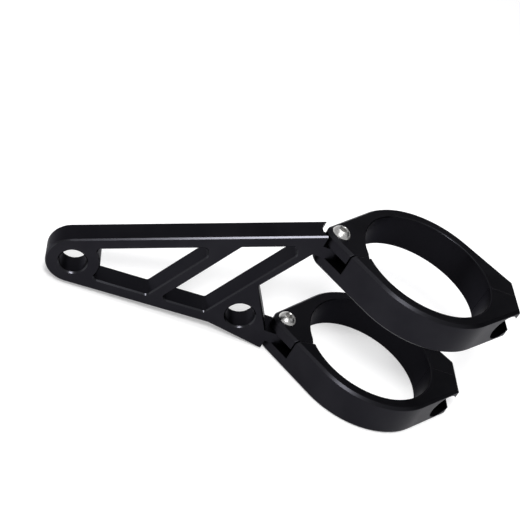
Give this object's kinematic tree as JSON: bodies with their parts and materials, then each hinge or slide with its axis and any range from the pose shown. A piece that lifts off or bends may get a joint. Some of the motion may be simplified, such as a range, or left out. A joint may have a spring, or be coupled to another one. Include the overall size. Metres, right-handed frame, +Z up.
{
  "type": "headlight mounting bracket",
  "caption": "Motorbike headlight bracket: a flat truss arm with a headlight eye, carried by hinged split fork clamps that swing on button-head pivot screws and pinch shut.",
  "frame": {"origin": "on the fork tube's axis, at mid height of the lower clamp", "axes": "+Z up along the fork axis, +X away from the headlight, Y across the flat arm"},
  "size_m": [0.1679, 0.0618, 0.0605],
  "materials": {
    "anodised_black": "fine bead-blasted satin black anodising over machined aluminium",
    "stainless": "turned and polished stainless steel"
  },
  "bodies": {
    "arm": {"arm": "anodised_black"},
    "upper_pivot": {"upper_pivot_screw": "stainless"},
    "upper_far_half": {"upper_clamp_tapped_half": "anodised_black"},
    "upper_near_half": {"upper_clamp_counterbored_half": "anodised_black"},
    "lower_pivot": {"lower_pivot_screw": "stainless"},
    "lower_far_half": {"lower_clamp_tapped_half": "anodised_black"},
    "lower_near_half": {"lower_clamp_counterbored_half": "anodised_black"}
  },
  "joints": [
    {"name": "upper_clamp_swing", "type": "hinge", "parent": "arm", "child": "upper_pivot", "pos_m": [-0.036, 0, 0.0443], "axis": [0, 0, 1], "range_deg": [-16, 16]},
    {"name": "upper_far_half_open", "type": "hinge", "parent": "upper_pivot", "child": "upper_far_half", "pos_m": [-0.036, 0, 0.0443], "axis": [0, 0, 1], "range_deg": [0, 27]},
    {"name": "upper_near_half_open", "type": "hinge", "parent": "upper_pivot", "child": "upper_near_half", "pos_m": [-0.036, 0, 0.0443], "axis": [0, 0, -1], "range_deg": [0, 27]},
    {"name": "lower_clamp_swing", "type": "hinge", "parent": "arm", "child": "lower_pivot", "pos_m": [-0.036, 0, 0], "axis": [0, 0, 1], "range_deg": [-16, 16]},
    {"name": "lower_far_half_open", "type": "hinge", "parent": "lower_pivot", "child": "lower_far_half", "pos_m": [-0.036, 0, 0], "axis": [0, 0, 1], "range_deg": [0, 27]},
    {"name": "lower_near_half_open", "type": "hinge", "parent": "lower_pivot", "child": "lower_near_half", "pos_m": [-0.036, 0, 0], "axis": [0, 0, -1], "range_deg": [0, 27]}
  ]
}
